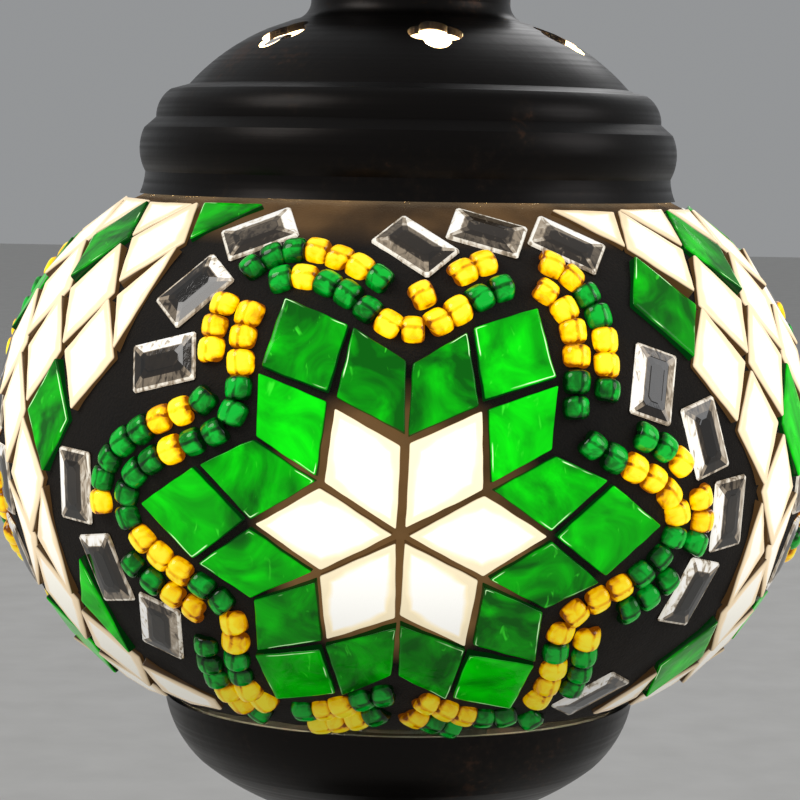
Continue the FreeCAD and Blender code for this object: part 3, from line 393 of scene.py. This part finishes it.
def make_looks():
    """One material for each material slot of the record, and one more for the cap's dome, with a painted glow
    inside it.
    """
    metal = {"Metallic": 1.0}
    return {
        "felt": plain_look("felt", (0.010, 0.03, 0.016), (0.03, 0.07, 0.04), 0.95, {"Sheen Weight": 0.5},
                           1500, 0.4, 5),
        "ballast_iron": plain_look("ballast_iron", (0.05, 0.048, 0.045), (0.11, 0.10, 0.095), 0.7,
                                   {"Metallic": 0.7}, 500, 0.2, 5),
        "dark_bronze": bronze_look("dark_bronze"),
        "cap_bronze_painted_glow": bronze_look("cap_bronze_painted_glow", with_painted_inner_glow=True),
        "black_rubber": plain_look("black_rubber", (0.010, 0.010, 0.010), (0.022, 0.022, 0.021), 0.75),
        "zinc_steel": plain_look("zinc_steel", (0.42, 0.41, 0.38), (0.62, 0.61, 0.57), 0.36, metal),
        "clear_glass": clear_look("clear_glass", (0.8, 0.84, 0.8), 0.35, 0.05),
        "grout": grout_look(),
        "white_glass": opal_look("white_glass", (1.0, 0.985, 0.93), (1.0, 0.86, 0.58), 1.3),
        "cream_glass": opal_look("cream_glass", (1.0, 0.96, 0.84), (1.0, 0.78, 0.50), 1.25),
        "green_glass": green_look(),
        "amber_glass": bead_look("amber_glass", (1.0, 0.84, 0.03), (1.0, 0.66, 0.0), (0.82, 0.36, 0.0),
                                 (0.20, 0.05, 0.0), 1.2),
        "bead_green_glass": bead_look("bead_green_glass", (0.0, 0.46, 0.03), (0.0, 0.17, 0.008),
                                      (0.0, 0.055, 0.003), (0.0, 0.009, 0.001), 1.0),
        "jewel_glass": jewel_look(),
        "black_phenolic": plain_look("black_phenolic", (0.012, 0.011, 0.011), (0.022, 0.02, 0.02), 0.42),
        "white_ceramic": plain_look("white_ceramic", (0.66, 0.64, 0.58), (0.76, 0.75, 0.70), 0.6),
        "brass": plain_look("brass", (0.52, 0.36, 0.13), (0.70, 0.50, 0.22), 0.3, metal),
        "nickel": plain_look("nickel", (0.55, 0.53, 0.49), (0.68, 0.66, 0.62), 0.24, metal),
        "black_insulator_glass": plain_look("black_insulator_glass", (0.008, 0.008, 0.012),
                                            (0.016, 0.016, 0.02), 0.12),
        "solder": plain_look("solder", (0.42, 0.42, 0.42), (0.58, 0.58, 0.58), 0.4, metal),
        "bulb_glass": clear_look("bulb_glass", (1.0, 0.96, 0.88), 0.25, 0.02),
        "filament": filament_look(),
    }


# ---------------------------------------------------------------- mesh building

class Build:
    """Vertices, faces and marks of one piece."""

    def __init__(self):
        self.points, self.faces = [], []
        self.point_marks, self.face_marks = {}, {}

    def ring(self, points, **marks):
        """Adds a ring of points; each mark is one number for the ring, or a list with one for each point."""
        start = len(self.points)
        self.points.extend(points)
        for name, value in marks.items():
            values = value if isinstance(value, list) else [value] * len(points)
            self.point_marks.setdefault(name, []).extend(values)
        return range(start, start + len(points))

    def face(self, corners, **marks):
        self.faces.append(tuple(corners))
        for name, value in marks.items():
            self.face_marks.setdefault(name, []).append(value)

    def skin(self, rings):
        """Joins each ring to the next with a band of quads."""
        for one, two in zip(rings, rings[1:]):
            for k in range(len(one)):
                after = (k + 1) % len(one)
                self.face((one[k], one[after], two[after], two[k]))

    def make(self, name, look, node, smooth=True):
        """Makes the object, which rides on the lamp in the place of that CAD node."""
        mesh = bpy.data.meshes.new(name)
        mesh.from_pydata([tuple(p) for p in self.points], [], self.faces)
        for domain, marks in (("POINT", self.point_marks), ("FACE", self.face_marks)):
            for mark, values in marks.items():
                mesh.attributes.new(mark, "FLOAT", domain).data.foreach_set("value", values)
        mesh.materials.append(look)
        mesh.polygons.foreach_set("use_smooth", [smooth] * len(mesh.polygons))
        mesh.validate()
        mesh.update()
        piece = bpy.data.objects.new(name, mesh)
        bpy.context.collection.objects.link(piece)
        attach(piece, "lamp")
        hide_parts(node)


def solids_of(node):
    """Each separate solid of a CAD node, as its flat faces: (outward normal, corners in order)."""
    mesh = bmesh.new()
    mesh.from_mesh(NODES[node].data)
    bmesh.ops.remove_doubles(mesh, verts=mesh.verts, dist=1e-6)
    bmesh.ops.dissolve_limit(mesh, angle_limit=0.03, verts=mesh.verts, edges=mesh.edges)
    solids, seen = [], set()
    for first in mesh.faces:
        if first in seen:
            continue
        seen.add(first)
        group, stack = [], [first]
        while stack:
            face = stack.pop()
            group.append(face)
            for edge in face.edges:
                for other in edge.link_faces:
                    if other not in seen:
                        seen.add(other)
                        stack.append(other)
        solids.append([(face.normal.copy(), [v.co.copy() for v in face.verts]) for face in group])
    mesh.free()
    solids.sort(key=lambda faces: tuple(round(value, 5) for value in sum(faces[0][1], Vector())))
    return solids


def middle_of(points):
    return sum(points, Vector()) / len(points)


def solid_middle(faces):
    return middle_of([corner for normal, corners in faces for corner in corners])


def outward_at(point):
    return (point - GLOBE_CENTRE).normalized()


def soft_outline(corners, rounding, step):
    """The outline through the corners with each corner rounded, in short steps."""
    points = []
    for before, here, after in zip(corners[-1:] + corners[:-1], corners, corners[1:] + corners[:1]):
        start = here + (before - here).normalized() * rounding
        end = here + (after - here).normalized() * rounding
        for k in range(4):
            t = k / 3
            points.append(start * (1 - t) ** 2 + here * (2 * t * (1 - t)) + end * t ** 2)
        last = after + (here - after).normalized() * rounding
        count = max(1, round((last - end).length / step))
        points += [end.lerp(last, k / count) for k in range(1, count)]
    return points


# how far a broken edge strays
CHIP = 0.11 * MM
# the inset at which a piece's rim has given way to its middle, and the depth where its cut side starts, in mm
RIM_WIDTH, SIDE_START = 2.8, 0.4
# (inset, depth under the top) of the rings of a hand-cut piece, from its underside to its middle, in mm
SLAB_RINGS = [(0.1, 2.8), (-0.12, 2.4), (-0.12, 1.3), (-0.12, 0.45), (-0.1, 0.26), (0.0, 0.11), (0.2, 0.03),
              (0.7, 0.0), (1.6, -0.02), (2.8, -0.02)]


def add_slab(build, faces, pick):
    """A hand-cut piece of glass in the place of a CAD prism: broken edges, soft corners, an uneven top."""
    outward = outward_at(solid_middle(faces))
    normal, corners = max(faces, key=lambda face: face[0].dot(outward))
    outline = soft_outline(corners, 0.25 * MM, 0.8 * MM)
    centre = middle_of(outline)
    tint = pick.random()
    tilt = Vector([pick.uniform(-0.02, 0.02) for _ in range(3)])
    # corner: how much painted shade falls on the piece near each of its corners
    near_corner = []
    for point in outline:
        nearest = min((point - corner).length for corner in corners)
        near_corner.append(max(0.0, 1 - nearest / (3.5 * MM)))
    rings = []
    for inset, depth in SLAB_RINGS:
        points = []
        for point in outline:
            reach = (point - centre).length
            ring_point = centre + (point - centre) * max(0.12, 1 - inset * MM / reach)
            grain = noise.noise_vector(ring_point * 420 + Vector((tint * 50, 0, 0)))
            share = 1.0 if depth > 0.02 else 0.3
            ring_point += (grain - normal * grain.dot(normal)) * CHIP * share
            rise = -depth * MM + (ring_point - centre).dot(tilt) + grain.dot(normal) * CHIP * 0.4
            points.append(ring_point + normal * min(rise, 0.0))
        inward = min(1.0, inset / RIM_WIDTH) if depth < SIDE_START else -0.3 * depth
        fade = max(0.0, 1 - inset / RIM_WIDTH)
        corner_marks = [near * fade for near in near_corner]
        rings.append(build.ring(points, inset=inward, tint=tint, corner=corner_marks))
    build.skin(rings)
    build.face(reversed(rings[0]))
    build.face(rings[-1])


def make_slabs(name, node, look, seed):
    """All hand-cut pieces of one node."""
    pick = random.Random(seed)
    build = Build()
    for faces in solids_of(node):
        add_slab(build, faces, pick)
    build.make(name, look, node)


# light that a jewel's bright outline catches, on its edge and just inside
EDGE_CATCH, OUTLINE_CATCH = 0.55, 0.62
# rings of a bevelled jewel: (inset, depth under the table, light caught by the band that ends there), in mm
JEWEL_RINGS = [(0.35, 2.8, 0.0), (0.0, 2.45, 0.05), (0.0, 0.8, 0.12), (0.10, 0.5, EDGE_CATCH),
               (0.42, 0.38, OUTLINE_CATCH), (1.55, 0.14, 1.0), (1.68, 0.11, 0.5), (2.3, 0.03, 0.22),
               (2.45, 0.0, 0.10)]
# how much light the four sides of a jewel catch, from its brightest one on
SIDE_CATCH = [(1.0, 0.35, 0.10, 0.16), (0.95, 0.85, 0.12, 0.08), (0.9, 0.12, 0.30, 0.10),
              (0.25, 0.9, 0.08, 0.5)]


def make_jewels(look):
    """Clear step-cut rectangles: each side's facets catch the light on their own."""
    pick = random.Random(5)
    build = Build()
    for faces in solids_of("jewels_clear"):
        outward = outward_at(solid_middle(faces))
        normal, base = min(faces, key=lambda face: face[0].dot(outward))
        normal = -normal
        base = list(reversed(base))
        rings = []
        for inset, depth, _ in JEWEL_RINGS:
            points = []
            for before, here, after in zip(base[-1:] + base[:-1], base, base[1:] + base[:1]):
                one, two = (before - here).normalized(), (after - here).normalized()
                corner = here + (one + two) * inset * MM
                cut = (0.3 + 0.12 * inset) * MM
                for side in (one, two):
                    points.append(corner + side * cut + normal * (PIECE_THICK - depth * MM))
            rings.append(build.ring(points))
        # the highest side of each jewel catches the brightest painted highlight
        upward = [(base[(k + 1) % 4] + base[k]).z / 2 + pick.uniform(-2, 2) * MM for k in range(4)]
        first = upward.index(max(upward))
        sides = pick.choice(SIDE_CATCH)
        for (_, _, caught), one, two in zip(JEWEL_RINGS[1:], rings, rings[1:]):
            for k in range(len(one)):
                after = (k + 1) % len(one)
                side = sides[(k // 2 - first) % 4] if k % 2 else 0.4
                if caught in (EDGE_CATCH, OUTLINE_CATCH):
                    side = 0.8 + 0.6 * side
                catch = side * caught + pick.uniform(-0.03, 0.03)
                build.face((one[k], one[after], two[after], two[k]), catch=catch)
        build.face(reversed(rings[0]), catch=0.0)
        build.face(rings[-1], catch=pick.choice((0.0, 0.02, 0.04, 0.10)))
    build.make("jewels", look, "jewels_clear", smooth=False)


def bead_frame(faces):
    """Centre and bore direction of a bead: its corners spread differently along the bore than across it."""
    corners = np.array([c[:] for normal, loop in faces for c in loop])
    corners = np.unique(corners.round(8), axis=0)
    centre = corners.mean(axis=0)
    spread, directions = np.linalg.eigh(np.cov((corners - centre).T))
    odd = 0 if spread[1] - spread[0] > spread[2] - spread[1] else 2
    return Vector(centre), Vector(directions[:, odd])


BEAD_SIDES = 20
BEAD_HALF_LENGTH, BEAD_WAIST = 1.72 * MM, 2.1 * MM
# (place along the bore as a share of the half length, radius as a share of the waist) round a bead's section
BEAD_SECTION = [(-0.80, 0.16), (-0.97, 0.30), (-1.0, 0.52), (-0.93, 0.76), (-0.72, 0.92), (-0.38, 0.99),
                (0.0, 1.0), (0.38, 0.99), (0.72, 0.92), (0.93, 0.76), (1.0, 0.52), (0.97, 0.30), (0.80, 0.16)]


def make_beads(name, node, look, seed):
    """Round glass beads with a bore, in the places of the CAD ones, each a little different."""
    pick = random.Random(seed)
    build = Build()
    for faces in solids_of(node):
        centre, axis = bead_frame(faces)
        outward = outward_at(centre)
        axis = (axis - outward * axis.dot(outward)).normalized()
        across = outward.cross(axis)
        tint, size = pick.random(), pick.uniform(0.93, 1.0)
        half, waist = BEAD_HALF_LENGTH * pick.uniform(0.92, 1.05), BEAD_WAIST * size
        seat = centre - outward * (pick.uniform(0.0, 0.12) * MM)
        lean = pick.uniform(-0.12, 0.12)
        rings = []
        for along, radius in BEAD_SECTION:
            points, facing, aside = [], [], []
            for k in range(BEAD_SIDES):
                turn = 2 * math.pi * k / BEAD_SIDES
                side = outward * math.cos(turn) + across * math.sin(turn)
                shift = along * half + lean * radius * waist * math.sin(turn) * (0.5 + 0.5 * abs(along))
                points.append(seat + axis * shift + side * (radius * waist))
                # painted backlight: brightest where the bead faces out of the globe, with painted shade on
                # its flanks
                facing.append(max(0.0, math.cos(turn)) ** 0.7 * (0.55 + 0.45 * radius))
                aside.append(math.sin(turn) * radius)
            rings.append(build.ring(points, facing=facing, aside=aside, end=abs(along), tint=tint))
        build.skin(rings + rings[:1])
    build.make(name, look, node)


def oval_place(depth, arc):
    """(radius, height, slope) at a length along the globe's outline from the equator, at a depth under it."""
    bend = abs(arc) / SIDE_RADIUS
    if bend <= CROWN_START:
        radius = SIDE_OFFSET + (SIDE_RADIUS - depth) * math.cos(bend)
        height = (SIDE_RADIUS - depth) * math.sin(bend)
    else:
        bend = CROWN_START + (abs(arc) - SIDE_RADIUS * CROWN_START) / CROWN_RADIUS
        radius = (CROWN_RADIUS - depth) * math.cos(bend)
        height = (CROWN_RADIUS - depth) * math.sin(bend) - CROWN_DROP
    return radius, math.copysign(height, arc), math.copysign(bend, arc)


def place_on_globe(depth, arc, azimuth):
    """The point at a depth, a length along the outline and an azimuth from the front, with its normal."""
    radius, height, bend = oval_place(depth, arc)
    out = Vector((math.sin(azimuth), -math.cos(azimuth), 0))
    point = out * radius + Vector((0, 0, EQUATOR + height))
    return point, out * math.cos(bend) + Vector((0, 0, math.sin(bend)))


# the grout's ends along the globe's outline, the depths of its face and back, and how finely it is divided
GROUT_LOW, GROUT_HIGH = -52.4 * MM, 48.0 * MM
GROUT_FACE, GROUT_BACK = 0.62 * MM, 3.35 * MM
GROUT_ROWS, GROUT_BACK_ROWS, GROUT_COLUMNS = 114, 40, 420


def grout_depth(arc):
    """The depth of the grout's face under the pieces' tops, deeper towards the cap and the bowl."""
    towards_cap = 0.5 * MM * max(0.0, (arc - 43 * MM) / (5 * MM))
    towards_bowl = 1.4 * MM * max(0.0, (-49 * MM - arc) / (3.4 * MM))
    return GROUT_FACE + towards_cap + towards_bowl


def grout_thinness(point, arc, stars):
    """How strong the grout's painted glow is: 1 inside a star, less below the cap, 0 elsewhere."""
    near_star = min((point - star).length for star in stars)
    star_share = max(0.0, min(1.0, (21 * MM - near_star) / (4 * MM)))
    rim_share = max(0.0, min(1.0, (arc - 35 * MM) / (4 * MM)))
    return max(star_share, 0.75 * rim_share)


def make_grout(look):
    """Grout between the pieces: a sandy, wavy face and a smooth back against the glass."""
    build = Build()
    stars = [place_on_globe(0.0, -MEDALLION_DROP, math.radians(120 * k))[0] for k in range(3)]
    azimuths = [2 * math.pi * k / GROUT_COLUMNS for k in range(GROUT_COLUMNS)]
    rings = []
    for i in range(GROUT_ROWS + 1):
        arc = GROUT_LOW + (GROUT_HIGH - GROUT_LOW) * i / GROUT_ROWS
        points, thin = [], []
        for azimuth in azimuths:
            point, normal = place_on_globe(grout_depth(arc), arc, azimuth)
            grain = noise.noise(point * 260) * 0.16 + noise.noise(point * 700) * 0.06
            points.append(point + normal * grain * MM)
            thin.append(grout_thinness(point, arc, stars))
        rings.append(build.ring(points, thin=thin))
    for i in range(GROUT_BACK_ROWS + 1):
        arc = GROUT_HIGH + (GROUT_LOW - GROUT_HIGH) * i / GROUT_BACK_ROWS
        points = [place_on_globe(GROUT_BACK, arc, azimuth)[0] for azimuth in azimuths]
        rings.append(build.ring(points, thin=0.0))
    build.skin(rings + rings[:1])
    build.make("grout_skin", look, "grout_bed")


# ---------------------------------------------------------------- the lamp

def dress_cad_nodes(looks):
    """Gives every CAD node that stays in view the look of its slot."""
    for entry in frame["record"]["subparts"]:
        node, slot = entry["node"], entry["material_slot"]
        look = looks["cap_bronze_painted_glow"] if node == "cap_dome" else looks[slot]
        for material_slot in NODES[node].material_slots:
            material_slot.material = look


def main():
    noise.seed_set(1)  # else noise_vector differs from run to run
    make_camera()
    make_lights()
    make_floor()
    looks = make_looks()
    dress_cad_nodes(looks)
    make_slabs("star_white", "star_pieces_white", looks["white_glass"], 1)
    make_slabs("star_green", "star_pieces_green", looks["green_glass"], 2)
    make_slabs("divider_white", "divider_pieces_white", looks["cream_glass"], 3)
    make_slabs("divider_green", "divider_pieces_green", looks["green_glass"], 4)
    make_jewels(looks["jewel_glass"])
    make_beads("amber_beads", "beads_amber", looks["amber_glass"], 6)
    make_beads("green_beads", "beads_green", looks["bead_green_glass"], 7)
    make_grout(looks["grout"])


main()
